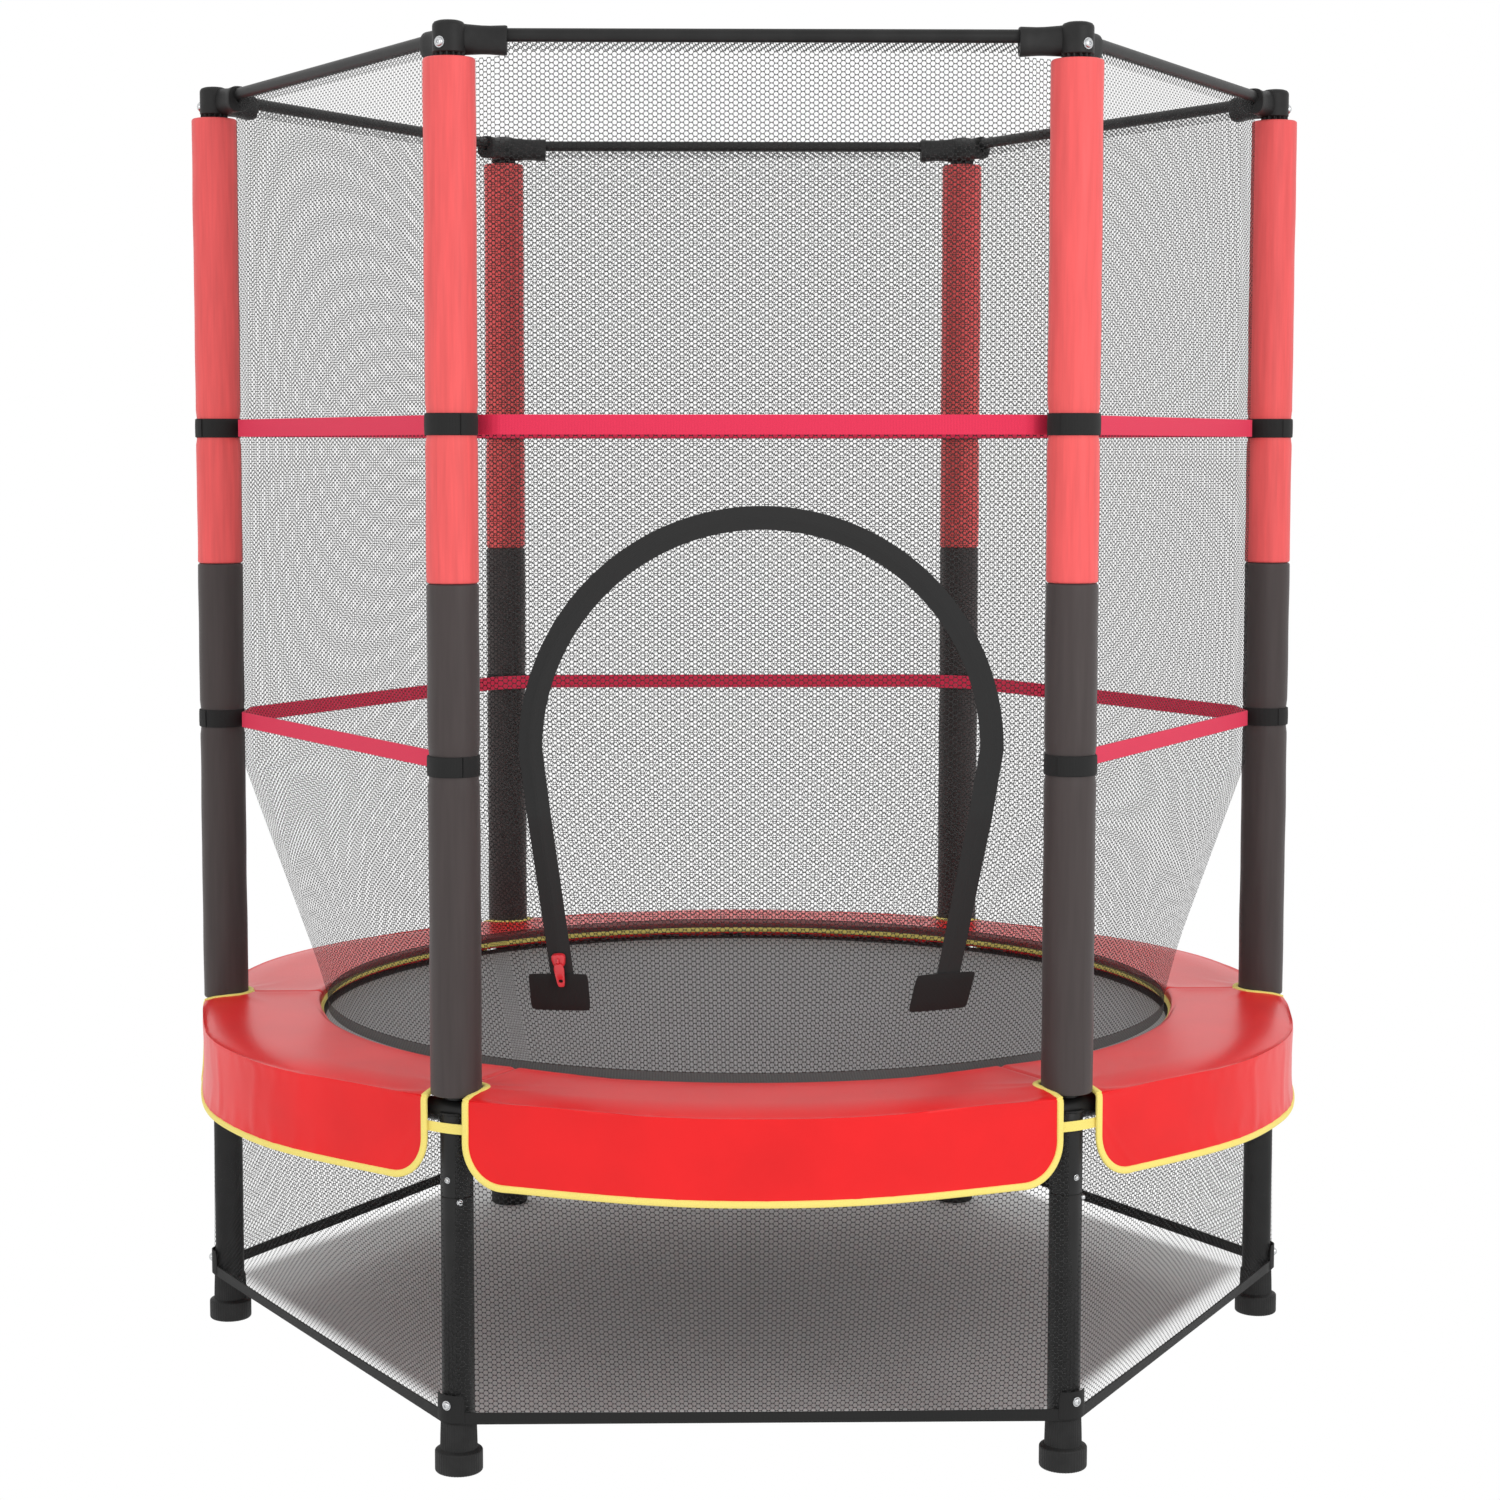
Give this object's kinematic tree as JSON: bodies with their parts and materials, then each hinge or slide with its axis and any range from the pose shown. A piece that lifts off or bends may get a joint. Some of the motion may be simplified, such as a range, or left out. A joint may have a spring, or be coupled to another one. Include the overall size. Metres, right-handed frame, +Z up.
{
  "type": "enclosed trampoline",
  "caption": "Small round trampoline on legs, with a padded ring, an elastic-laced mat, foam-sleeved poles, a zip-door safety net and a net skirt.",
  "frame": {"origin": "on the floor under the centre of the ring", "axes": "+Z up; -Y towards the front, where the zip door is; +X to the right seen from the front"},
  "size_m": [1.398, 1.4, 1.565],
  "materials": {
    "black_steel": "satin black powder coat",
    "black_plastic": "fine-grained moulded plastic",
    "red_sleeve": "smooth coated fabric over foam",
    "dark_sleeve": "smooth coated fabric over foam",
    "red_pad_vinyl": "glossy coated fabric with yellow binding",
    "net_mesh": "knitted net with round holes",
    "mat_fabric": "woven black plastic tape",
    "elastic_cord": "braided elastic cord",
    "red_zip_plastic": "moulded",
    "black_webbing": "woven webbing",
    "pink_webbing": "woven webbing",
    "yellow_binding": "folded binding tape",
    "bright_bolt": "zinc plated"
  },
  "bodies": {
    "frame": {"enclosure_net": "net_mesh", "foam_sleeve_lower_back_left": "dark_sleeve", "foam_sleeve_lower_back_right": "dark_sleeve", "foam_sleeve_lower_front_left": "dark_sleeve", "foam_sleeve_lower_front_right": "dark_sleeve", "foam_sleeve_lower_left": "dark_sleeve", "foam_sleeve_lower_right": "dark_sleeve", "foam_sleeve_upper_back_left": "red_sleeve", "foam_sleeve_upper_back_right": "red_sleeve", "foam_sleeve_upper_front_left": "red_sleeve", "foam_sleeve_upper_front_right": "red_sleeve", "foam_sleeve_upper_left": "red_sleeve", "foam_sleeve_upper_right": "red_sleeve", "foot_cap_back_left": "black_plastic", "foot_cap_back_right": "black_plastic", "foot_cap_front_left": "black_plastic", "foot_cap_front_right": "black_plastic", "foot_cap_left": "black_plastic", "foot_cap_right": "black_plastic", "frame_pad": "red_pad_vinyl", "frame_rail_back_left": "black_steel", "frame_rail_back_right": "black_steel", "frame_rail_front_left": "black_steel", "frame_rail_front_right": "black_steel", "frame_rail_left": "black_steel", "frame_rail_right": "black_steel", "leg_back_left": "black_steel", "leg_back_right": "black_steel", "leg_front_left": "black_steel", "leg_front_right": "black_steel", "leg_left": "black_steel", "leg_right": "black_steel", "mat_lacing": "elastic_cord", "pole_back_left": "black_steel", "pole_back_right": "black_steel", "pole_cap_back_left": "black_plastic", "pole_cap_back_right": "black_plastic", "pole_cap_front_left": "black_plastic", "pole_cap_front_right": "black_plastic", "pole_cap_left": "black_plastic", "pole_cap_right": "black_plastic", "pole_front_left": "black_steel", "pole_front_right": "black_steel", "pole_left": "black_steel", "pole_right": "black_steel", "skirt_net": "net_mesh", "top_rail_back": "black_steel", "top_rail_back_left": "black_steel", "top_rail_back_right": "black_steel", "top_rail_front": "black_steel", "top_rail_front_left": "black_steel", "top_rail_front_right": "black_steel"},
    "mat": {"jump_mat": "mat_fabric"},
    "door": {"door_flap": "net_mesh"},
    "zip_slider": {"zip_slider": "red_zip_plastic"},
    "zip_pull": {"zip_pull": "red_zip_plastic"}
  },
  "joints": [
    {"name": "mat_bounce", "type": "slide", "parent": "frame", "child": "mat", "axis": [0, 0, 1], "range_m": [-0.12, 0], "stiffness_N_per_m": 5000},
    {"name": "door_swing", "type": "hinge", "parent": "frame", "child": "door", "pos_m": [-0.008, -0.55022, 0.585], "axis": [1, 0, 0], "range_deg": [0, 92]},
    {"name": "zip_travel", "type": "slide", "parent": "frame", "child": "zip_slider", "axis": [-0.133, -0.2564, 0.9574], "range_m": [0, 0.12]},
    {"name": "zip_pull_swing", "type": "hinge", "parent": "zip_slider", "child": "zip_pull", "pos_m": [-0.2222, -0.53067, 0.55196], "axis": [0.9737, -0.214, 0.0779], "range_deg": [-150, 0]}
  ]
}
